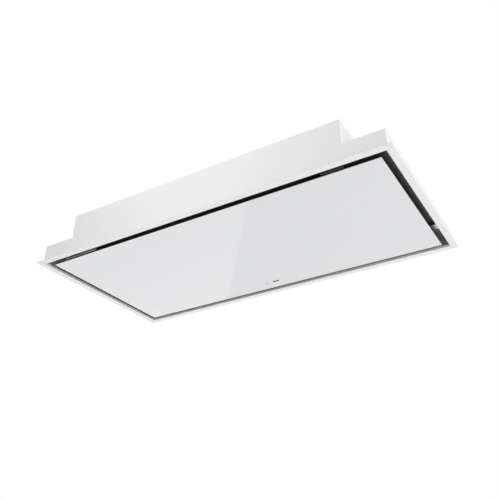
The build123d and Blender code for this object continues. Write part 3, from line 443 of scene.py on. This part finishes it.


# White glass: a back-painted sheet with a glossy face and a dark edge, partly its ground edge and partly
# painted shade from the dark gap round it
def makeWhiteGlass(settings):
    material, tree, shader = newMaterial("whiteGlass", IOR=1.52, Metallic=0.0)
    coords = tree.nodes.new("ShaderNodeTexCoord")
    split = tree.nodes.new("ShaderNodeSeparateXYZ")
    upright = addNode(tree, "ShaderNodeMath", operation="ABSOLUTE")
    edge = addNode(tree, "ShaderNodeMath", operation="LESS_THAN")
    edge.inputs[1].default_value = settings["faceSlope"]
    link(tree, coords.outputs["Normal"], split.inputs["Vector"])
    link(tree, split.outputs["Z"], upright.inputs[0])
    link(tree, upright.outputs[0], edge.inputs[0])
    peel = placeGroup(tree, peelGroup, Scale=60.0, Wave=1.5)
    handling = placeGroup(tree, handlingGroup, Scale=5.0, Low=0.5, High=0.85)
    face = mixColors(tree, peel.outputs["Cloud"], settings["tone"], settings["otherTone"])
    # The edge faces are painted near black: a dark ground edge with painted shade added
    whole = coverColor(tree, edge.outputs[0], face, settings["edgeTone"])
    link(tree, whole, shader.inputs["Base Color"])
    faceRough = stretchValue(tree, handling.outputs["Mask"], *settings["roughness"])
    rough = addNode(tree, "ShaderNodeMath", operation="MULTIPLY_ADD")
    link(tree, edge.outputs[0], rough.inputs[0])
    rough.inputs[1].default_value = settings["edgeRoughness"]
    link(tree, faceRough, rough.inputs[2])
    link(tree, rough.outputs[0], shader.inputs["Roughness"])
    normal = bumpNormal(tree, peel.outputs["Cloud"], settings["depth"], settings["strength"])
    link(tree, normal, shader.inputs["Normal"])
    return material


finishes["white_glass"] = makeWhiteGlass({
    "tone": (0.776, 0.783, 0.796, 1), "otherTone": (0.790, 0.797, 0.810, 1),
    "edgeTone": (0.030, 0.032, 0.032, 1), "faceSlope": 0.5,
    "roughness": (0.045, 0.075), "edgeRoughness": 0.35, "depth": 0.0004, "strength": 0.02,
})


def makeLens(name, settings):
    material, tree, shader = newMaterial(name, IOR=settings["ior"], Metallic=0.0)
    arris = placeGroup(tree, arrisGroup, Gain=2.0)
    handling = placeGroup(tree, handlingGroup, Scale=80.0)
    body = mixColors(tree, handling.outputs["Mask"], settings["tone"], settings["otherTone"])
    link(tree, body, shader.inputs["Base Color"])
    rough = stretchValue(tree, handling.outputs["Mask"], *settings["roughness"])
    link(tree, rough, shader.inputs["Roughness"])
    link(tree, arris.outputs["Normal"], shader.inputs["Normal"])
    return material


finishes["dark_lens"] = makeLens("smokedWindow", {
    "ior": 1.36, "tone": grey(0.006), "otherTone": grey(0.010), "roughness": (0.10, 0.18),
})
finishes["clear_lens"] = makeLens("lightPipe", {
    "ior": 1.40, "tone": grey(0.030), "otherTone": grey(0.045), "roughness": (0.12, 0.22),
})

# The deck and liner round the gap are a darker satin than the bright metal in front of them; the deck's
# near-black tone is painted shade of the recess
# Near-black satin: painted shade of the recess on steel parts
finishes["painted_shade_satin"] = makeSheetMetal("paintedShadeSatin", {
    "metallic": 0.3, "pattern": "streaks", "stretch": (6.0, 700.0, 700.0), "fine": 0.5, "edgeGain": 3.0,
    "handlingScale": 10.0, "anisotropic": 0.2,
    "tone": (0.100, 0.105, 0.110, 1), "otherTone": (0.130, 0.135, 0.140, 1), "edgeTone": grey(0.30),
    "roughness": (0.30, 0.40), "smear": 0.05, "depth": 0.00003, "strength": 0.2,
})
finishes["recess_liner"] = makeSheetMetal("recessLinerSatin", {
    "metallic": 0.3, "pattern": "streaks", "stretch": (6.0, 700.0, 700.0), "fine": 0.5, "edgeGain": 3.0,
    "handlingScale": 10.0, "anisotropic": 0.2,
    "tone": (0.40, 0.41, 0.42, 1), "otherTone": (0.48, 0.49, 0.50, 1), "edgeTone": grey(0.55),
    "roughness": (0.34, 0.44), "smear": 0.05, "depth": 0.00003, "strength": 0.2,
})
# The right-hand hinge gets the deck's near-black tone, painted shade, because it stands in the dark of the
# recess
ownFinish = {
    "filter_deck": "painted_shade_satin", "recess_liner": "recess_liner",
    "hinge_bracket_right": "painted_shade_satin", "hinge_leaf_right": "painted_shade_satin",
}

for nodeName, nodeObject in nodeObjects.items():
    material = finishes[ownFinish.get(nodeName, slotOfNode[nodeName])]
    if not nodeObject.material_slots:
        nodeObject.data.materials.append(material)
    for materialSlot in nodeObject.material_slots:
        materialSlot.material = material
print("finishes on", len(nodeObjects), "nodes")


# Folds steeper than this stay sharp on a smooth piece
sharpAngle = math.radians(35)
# Distances below this count as none
tiny = 1e-6


# A finished mesh at the origin that rides on a body and has its slot's finish
def finishPiece(pieceName, mesh, body, slot, smooth=True):
    built = bpy.data.meshes.new(pieceName)
    mesh.to_mesh(built)
    mesh.free()
    for polygon in built.polygons:
        polygon.use_smooth = smooth
    if smooth:
        built.set_sharp_from_angle(angle=sharpAngle)
    piece = bpy.data.objects.new(pieceName, built)
    bpy.context.scene.collection.objects.link(piece)
    built.materials.append(finishes[slot])
    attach(piece, body)


def turnTo(direction):
    return Vector((0, 0, 1)).rotation_difference(Vector(direction)).to_matrix().to_4x4()


# One head or sleeve: an outline spun round Z, standing on z = 0
def spinHead(outline, steps):
    head = bmesh.new()
    points = [head.verts.new((radius, 0, height)) for radius, height in outline]
    edges = [head.edges.new(pair) for pair in zip(points, points[1:])]
    bmesh.ops.spin(
        head, geom=points + edges, cent=(0, 0, 0), axis=(0, 0, 1),
        angle=2 * math.pi, steps=steps, use_merge=True,
    )
    bmesh.ops.remove_doubles(head, verts=head.verts, dist=tiny)
    bmesh.ops.recalc_face_normals(head, faces=head.faces)
    pattern = bpy.data.meshes.new("headPattern")
    head.to_mesh(pattern)
    head.free()
    return pattern


def scatterHeads(pieceName, outline, places, body, slot, steps=14):
    pattern = spinHead(outline, steps)
    joined = bmesh.new()
    for place, direction in places:
        before = set(joined.verts)
        joined.from_mesh(pattern)
        added = [vert for vert in joined.verts if vert not in before]
        bmesh.ops.transform(joined, matrix=Matrix.Translation(place) @ turnTo(direction), verts=added)
    bpy.data.meshes.remove(pattern)
    finishPiece(pieceName, joined, body, slot)


# Outlines of a screw's and a rivet's head, in shares of radius and height
panHead = ((0, 0), (1, 0), (1, 0.35), (0.86, 0.8), (0.55, 1), (0.42, 1), (0.36, 0.45), (0, 0.45))
rivetHead = ((0, 0), (1, 0), (0.94, 0.4), (0.7, 0.85), (0.34, 1), (0.28, 0.7), (0, 0.7))


def sizedHead(shares, settings):
    return [(across * settings["radius"], up * settings["height"]) for across, up in shares]


# Filter faces: an expanded mesh sheet just inside each filter's border
expandedMesh = {
    "longWay": 0.012, "shortWay": 0.006, "strand": 0.0009, "thickness": 0.0005,
    "border": 0.012, "tuck": 0.001, "endInset": 0.002, "clear": 0.0005, "spare": 1.05,
}


def addExpandedMesh(settings, index):
    frameLow, frameHigh = boxOf(f"filter_frame_{index}")
    packLow, packHigh = boxOf(f"filter_mesh_{index}")
    inset = settings["border"] - settings["tuck"]
    low = Vector((frameLow.x + inset, packLow.y + settings["endInset"], 0))
    high = Vector((frameHigh.x - inset, packHigh.y - settings["endInset"], 0))
    centre = (low + high) / 2
    lengthX, lengthY = high.x - low.x, high.y - low.y
    sheet = bmesh.new()
    across = max(lengthX / settings["longWay"], lengthY / settings["shortWay"])
    cells = math.ceil(across * settings["spare"]) * 2
    bmesh.ops.create_grid(sheet, x_segments=cells, y_segments=cells, size=cells / 2)
    # A square grid turned on its corner and drawn out is a diamond mesh
    corner = Matrix.Rotation(math.pi / 4, 3, "Z")
    bmesh.ops.rotate(sheet, verts=sheet.verts, cent=(0, 0, 0), matrix=corner)
    diagonal = math.sqrt(2)
    bmesh.ops.scale(
        sheet, verts=sheet.verts, vec=(settings["longWay"] / diagonal, settings["shortWay"] / diagonal, 1.0),
    )
    for axis, reach in (((1, 0, 0), lengthX / 2), ((0, 1, 0), lengthY / 2)):
        for side in (-1, 1):
            normal = Vector(axis) * side
            bmesh.ops.bisect_plane(
                sheet, geom=sheet.verts[:] + sheet.edges[:] + sheet.faces[:],
                plane_co=normal * reach, plane_no=normal, clear_outer=True,
            )
    bmesh.ops.wireframe(
        sheet, faces=sheet.faces, thickness=settings["strand"] / 2, use_replace=True, use_boundary=True,
        use_even_offset=True,
    )
    bmesh.ops.scale(sheet, verts=sheet.verts, vec=(1, 1, settings["thickness"] / settings["strand"]))
    bmesh.ops.translate(
        sheet, verts=sheet.verts, vec=(centre.x, centre.y, packLow.z - settings["clear"]),
    )
    bmesh.ops.recalc_face_normals(sheet, faces=sheet.faces)
    finishPiece(f"filterExpandedMesh_{index}", sheet, "hood", "filter_aluminium", smooth=False)


for filterIndex in (1, 2, 3):
    addExpandedMesh(expandedMesh, filterIndex)
print("expanded mesh made")


# Screws of the top cover: along the control-side wall clear of the outlet, and across the left end
coverScrews = {
    "radius": 0.0036, "height": 0.0022, "drop": 0.007, "count": 6, "endInset": 0.06,
    "outletClear": 0.13, "endRows": (-0.12, 0.0, 0.12),
}


def addCoverScrews(settings):
    wallHigh = boxOf("control_side_wall")[1]
    plateLow, plateHigh = boxOf("end_plate_left")
    reach = boxOf("top_cover")[1].x - settings["endInset"]
    places = []
    for step in range(settings["count"]):
        x = -reach + 2 * reach * step / (settings["count"] - 1)
        if abs(x) > settings["outletClear"]:
            places.append(((x, wallHigh.y, wallHigh.z - settings["drop"]), (0, 1, 0)))
    for y in settings["endRows"]:
        places.append(((plateLow.x, y, plateHigh.z - settings["drop"]), (-1, 0, 0)))
    scatterHeads("coverScrews", sizedHead(panHead, settings), places, "hood", "plated_steel")


addCoverScrews(coverScrews)

# Two bolts through the plate of each suspension bracket
bracketBolts = {"radius": 0.0055, "height": 0.0030, "plate": 0.003, "pitch": 0.016, "lift": 0.011}


def addBracketBolts(settings):
    places = []
    for index in range(1, 5):
        low, high = boxOf(f"suspension_bracket_{index}")
        side = 1 if low.x > 0 else -1
        face = (low.x if side > 0 else high.x) + side * settings["plate"]
        middle = (low.y + high.y) / 2
        for shift in (-0.5, 0.5):
            y = middle + shift * settings["pitch"]
            places.append(((face, y, low.z + settings["lift"]), (side, 0, 0)))
    scatterHeads("bracketBolts", sizedHead(panHead, settings), places, "hood", "plated_steel")


addBracketBolts(bracketBolts)

# Screws through the side flanges of the outlet collar
collarScrews = {
    "radius": 0.0034, "height": 0.0020, "flange": 0.0015, "inset": 0.006, "rows": (-0.028, 0.0, 0.028),
}


def addCollarScrews(settings):
    low, high = boxOf("outlet_collar")
    middle = (low.z + high.z) / 2
    places = []
    for x in (low.x + settings["inset"], high.x - settings["inset"]):
        for shift in settings["rows"]:
            places.append(((x, low.y + settings["flange"], middle + shift), (0, 1, 0)))
    scatterHeads("collarScrews", sizedHead(panHead, settings), places, "hood", "plated_steel")


addCollarScrews(collarScrews)

# Rivets of the filter rails, the hinge brackets and the catch brackets
channelRivets = {
    "radius": 0.0030, "height": 0.0013,
    "railPitch": 0.147, "railSteps": 3, "railInset": 0.006, "railSheet": 0.0015,
    "hingeEnd": 0.011, "hingeNear": 0.008, "hingeFar": 0.010, "hingeSheet": 0.002,
    "catchRows": (0.010, 0.038), "catchDrop": 0.009, "catchSheet": 0.002,
}


def addChannelRivets(settings):
    places = []
    for name, far in (("near_filter_rail", False), ("far_filter_rail", True)):
        low, high = boxOf(name)
        y = high.y - settings["railInset"] if far else low.y + settings["railInset"]
        for step in range(-settings["railSteps"], settings["railSteps"] + 1):
            x = step * settings["railPitch"]
            places.append(((x, y, high.z - settings["railSheet"]), (0, 0, -1)))
    for name in ("hinge_bracket_left", "hinge_bracket_right"):
        low, high = boxOf(name)
        for x in (low.x + settings["hingeEnd"], high.x - settings["hingeEnd"]):
            for y in (low.y + settings["hingeNear"], high.y - settings["hingeFar"]):
                places.append(((x, y, high.z - settings["hingeSheet"]), (0, 0, -1)))
    for name, side in (("catch_bracket_left", -1), ("catch_bracket_right", 1)):
        low, high = boxOf(name)
        face = (low.x if side < 0 else high.x) - side * settings["catchSheet"]
        for row in settings["catchRows"]:
            places.append(((face, low.y + row, high.z - settings["catchDrop"]), (-side, 0, 0)))
    scatterHeads(
        "channelRivets", sizedHead(rivetHead, settings), places, "hood", "stainless_steel",
    )


addChannelRivets(channelRivets)

# Rivets of the hinge leaves, the catch keepers and the receiver box
panelRivets = {
    "radius": 0.0028, "height": 0.0012,
    "leafInset": 0.009, "leafRows": (0.008, 0.026), "leafTop": 0.0028,
    "keeperInset": 0.006, "keeperSheet": 0.002, "boxInset": 0.005,
}


def addPanelRivets(settings):
    leafTop = boxOf("panel_glass")[1].z + settings["leafTop"]
    places = []
    for name in ("hinge_leaf_left", "hinge_leaf_right"):
        low, high = boxOf(name)
        for x in (low.x + settings["leafInset"], high.x - settings["leafInset"]):
            for row in settings["leafRows"]:
                places.append(((x, high.y - row, leafTop), (0, 0, 1)))
    for name in ("catch_keeper_left", "catch_keeper_right"):
        low, high = boxOf(name)
        for y in (low.y + settings["keeperInset"], high.y - settings["keeperInset"]):
            places.append((((low.x + high.x) / 2, y, low.z + settings["keeperSheet"]), (0, 0, 1)))
    low, high = boxOf("receiver_box")
    for x in (low.x + settings["boxInset"], high.x - settings["boxInset"]):
        for y in (low.y + settings["boxInset"], high.y - settings["boxInset"]):
            places.append(((x, y, high.z), (0, 0, 1)))
    scatterHeads(
        "panelRivets", sizedHead(rivetHead, settings), places, "panel", "plated_steel",
    )


addPanelRivets(panelRivets)

# Closing damper on the left-hand hinge's axis: a bright sleeve that starts at the pin's head
hingeDamper = {
    "radius": 0.0042, "cap": 0.0034, "chamfer": 0.0010, "reach": 0.520, "collar": 0.0048,
    "collarLength": 0.004, "steps": 28,
}


def addHingeDamper(settings):
    low, high = boxOf("hinge_pin_left")
    length = low.x + settings["reach"]
    outline = (
        (0, 0), (settings["collar"], 0), (settings["collar"], settings["collarLength"]),
        (settings["radius"], settings["collarLength"]), (settings["radius"], length - settings["chamfer"]),
        (settings["cap"], length), (0, length),
    )
    place = (low.x, (low.y + high.y) / 2, (low.z + high.z) / 2)
    scatterHeads(
        "hinge_damper_left", outline, [(place, (-1, 0, 0))], "hood", "stainless_steel", settings["steps"],
    )


addHingeDamper(hingeDamper)

# Black print on the glass round the receiver window and the indicator
lensBorder = {"width": 0.0014, "clearance": 0.0002, "thickness": 0.00004, "proud": 0.00001, "segments": 32}


def addLensBorder(settings, lensName):
    low, high = boxOf(lensName)
    glassLow = boxOf("panel_glass")[0]
    centre = (low + high) / 2
    radius = (high.y - low.y) / 2 + settings["clearance"]
    straight = (high.x - low.x) / 2 + settings["clearance"] - radius
    border = bmesh.new()
    bmesh.ops.create_circle(
        border, cap_ends=True, radius=radius + settings["width"], segments=settings["segments"],
    )
    bmesh.ops.inset_region(
        border, faces=border.faces[:], thickness=settings["width"], use_boundary=True, use_even_offset=True,
    )
    middle = [face for face in border.faces if len(face.verts) > 4]
    bmesh.ops.delete(border, geom=middle, context="FACES_ONLY")
    for side in (-1, 1):
        half = [vert for vert in border.verts if vert.co.x * side > tiny]
        bmesh.ops.translate(border, verts=half, vec=(side * straight, 0, 0))
    bmesh.ops.recalc_face_normals(border, faces=border.faces)
    bmesh.ops.solidify(border, geom=border.faces[:], thickness=settings["thickness"])
    top = max(vert.co.z for vert in border.verts)
    bmesh.ops.translate(
        border, verts=border.verts, vec=(centre.x, centre.y, glassLow.z - settings["proud"] - top),
    )
    bmesh.ops.recalc_face_normals(border, faces=border.faces)
    finishPiece(f"{lensName}_border", border, "panel", "black_plastic", smooth=False)


for lensName in ("receiver_window", "indicator_lens"):
    addLensBorder(lensBorder, lensName)

# Screws of the control box's lid, and a ring of them round the inlet
lidScrews = {
    "radius": 0.0032, "height": 0.0018, "inset": 0.008,
    "ringInset": 0.006, "ringCount": 6, "ringStart": 30,
}


def addLidScrews(settings):
    low, high = boxOf("control_box_lid")
    places = []
    for x in (low.x + settings["inset"], high.x - settings["inset"]):
        for y in (low.y + settings["inset"], high.y - settings["inset"]):
            places.append(((x, y, low.z), (0, 0, -1)))
    ringLow, ringHigh = boxOf("inlet_ring")
    centre = (ringLow + ringHigh) / 2
    radius = (ringHigh.x - ringLow.x) / 2 - settings["ringInset"]
    for step in range(settings["ringCount"]):
        angle = math.radians(settings["ringStart"] + 360 * step / settings["ringCount"])
        x = centre.x + radius * math.cos(angle)
        y = centre.y + radius * math.sin(angle)
        places.append(((x, y, ringLow.z), (0, 0, -1)))
    scatterHeads("lidScrews", sizedHead(panHead, settings), places, "hood", "plated_steel")


addLidScrews(lidScrews)
print("fasteners made")


# Floor and light
stage = {
    "floorHeight": -2.2, "floorSize": 16.0, "floorTone": 0.86, "otherTone": 0.90, "floorLift": 0.48,
    "worldLevel": 0.545, "worldShown": 1.0,
}


# 1 for the rays that show a background: from the camera, or off metal and glass
def shownRays(tree):
    path = tree.nodes.new("ShaderNodeLightPath")
    total = path.outputs["Is Camera Ray"]
    for rayKind in ("Is Glossy Ray", "Is Transmission Ray"):
        adding = addNode(tree, "ShaderNodeMath", operation="ADD", use_clamp=True)
        link(tree, total, adding.inputs[0])
        link(tree, path.outputs[rayKind], adding.inputs[1])
        total = adding.outputs[0]
    return total


def makeFloor(settings):
    ground = bmesh.new()
    bmesh.ops.create_grid(ground, x_segments=1, y_segments=1, size=settings["floorSize"] / 2)
    bmesh.ops.translate(ground, verts=ground.verts, vec=(0, 0, settings["floorHeight"]))
    mesh = bpy.data.meshes.new("studioFloor")
    ground.to_mesh(mesh)
    ground.free()
    floor = bpy.data.objects.new("studioFloor", mesh)
    bpy.context.scene.collection.objects.link(floor)
    material, tree, shader = newMaterial("studioPaper", Roughness=0.9)
    cloud = setInputs(addNode(tree, "ShaderNodeTexNoise"), Scale=0.6, Detail=2.0)
    paper = mixColors(tree, cloud.outputs["Fac"], grey(settings["floorTone"]), grey(settings["otherTone"]))
    link(tree, paper, shader.inputs["Base Color"])
    link(tree, paper, shader.inputs["Emission Color"])
    lift = stretchValue(tree, shownRays(tree), 0.0, settings["floorLift"])
    link(tree, lift, shader.inputs["Emission Strength"])
    mesh.materials.append(material)


def makeWorld(settings):
    world = bpy.data.worlds.new("studioWorld")
    bpy.context.scene.world = world
    world.use_nodes = True
    tree = world.node_tree
    background = tree.nodes["Background"]
    level = stretchValue(tree, shownRays(tree), settings["worldLevel"], settings["worldShown"])
    link(tree, level, background.inputs["Strength"])
    background.inputs["Color"].default_value = (1, 1, 1, 1)


def makeSoftbox(name, settings):
    lampData = bpy.data.lights.new(name, "AREA")
    lampData.shape = "RECTANGLE"
    lampData.size, lampData.size_y = settings["size"]
    lampData.energy = settings["energy"]
    lamp = bpy.data.objects.new(name, lampData)
    bpy.context.scene.collection.objects.link(lamp)
    if "target" in settings:
        aim = Vector(settings["target"]) - Vector(settings["place"])
        turn = aim.to_track_quat("-Z", "Y").to_matrix().to_4x4()
    else:
        turn = Matrix.Rotation(math.radians(settings["turn"]), 4, "Z") @ Matrix.Rotation(math.pi, 4, "X")
    lamp.matrix_world = Matrix.Translation(settings["place"]) @ turn
    lamp.visible_camera = False
    lamp.visible_glossy = settings.get("mirrored", True)


# Softbox on the floor behind the hood: its near edge is the soft line across the glass
panelGlow = {"place": (-2.921, 2.864, -2.0), "size": (1.8, 2.9), "energy": 8.5, "turn": 37.3}
# Soft lamp close in front of the middle, so the long wall falls off to its ends
frontLamp = {
    "place": (-0.03, -1.10, 0.20), "target": (0.0, 0.0, 0.06), "size": (0.5, 0.4),
    "energy": 2.9, "mirrored": False,
}
# Side lamp that whitens the right end
sideLamp = {
    "place": (2.6, 0.1, 0.4), "target": (0.4, 0.0, 0.05), "size": (1.6, 1.2),
    "energy": 15.0, "mirrored": False,
}
# Wide lamp below that fills the underside
underLamp = {"place": (0.1, 0.3, -2.0), "target": (0.1, 0.31, 0.0), "size": (3.0, 2.0), "energy": 18.0}
# Low lamp at the near right corner that reaches the frame's turned-up lips under the glass
lowLamp = {
    "place": (2.3, -1.1, -0.85), "target": (0.0, 0.0, 0.0), "size": (1.2, 0.7),
    "energy": 11.0, "mirrored": False,
}

makeFloor(stage)
makeWorld(stage)
for lampName, lampSettings in (
    ("panelGlow", panelGlow), ("frontLamp", frontLamp), ("sideLamp", sideLamp),
    ("underLamp", underLamp), ("lowLamp", lowLamp),
):
    makeSoftbox(lampName, lampSettings)
print("floor and light set")
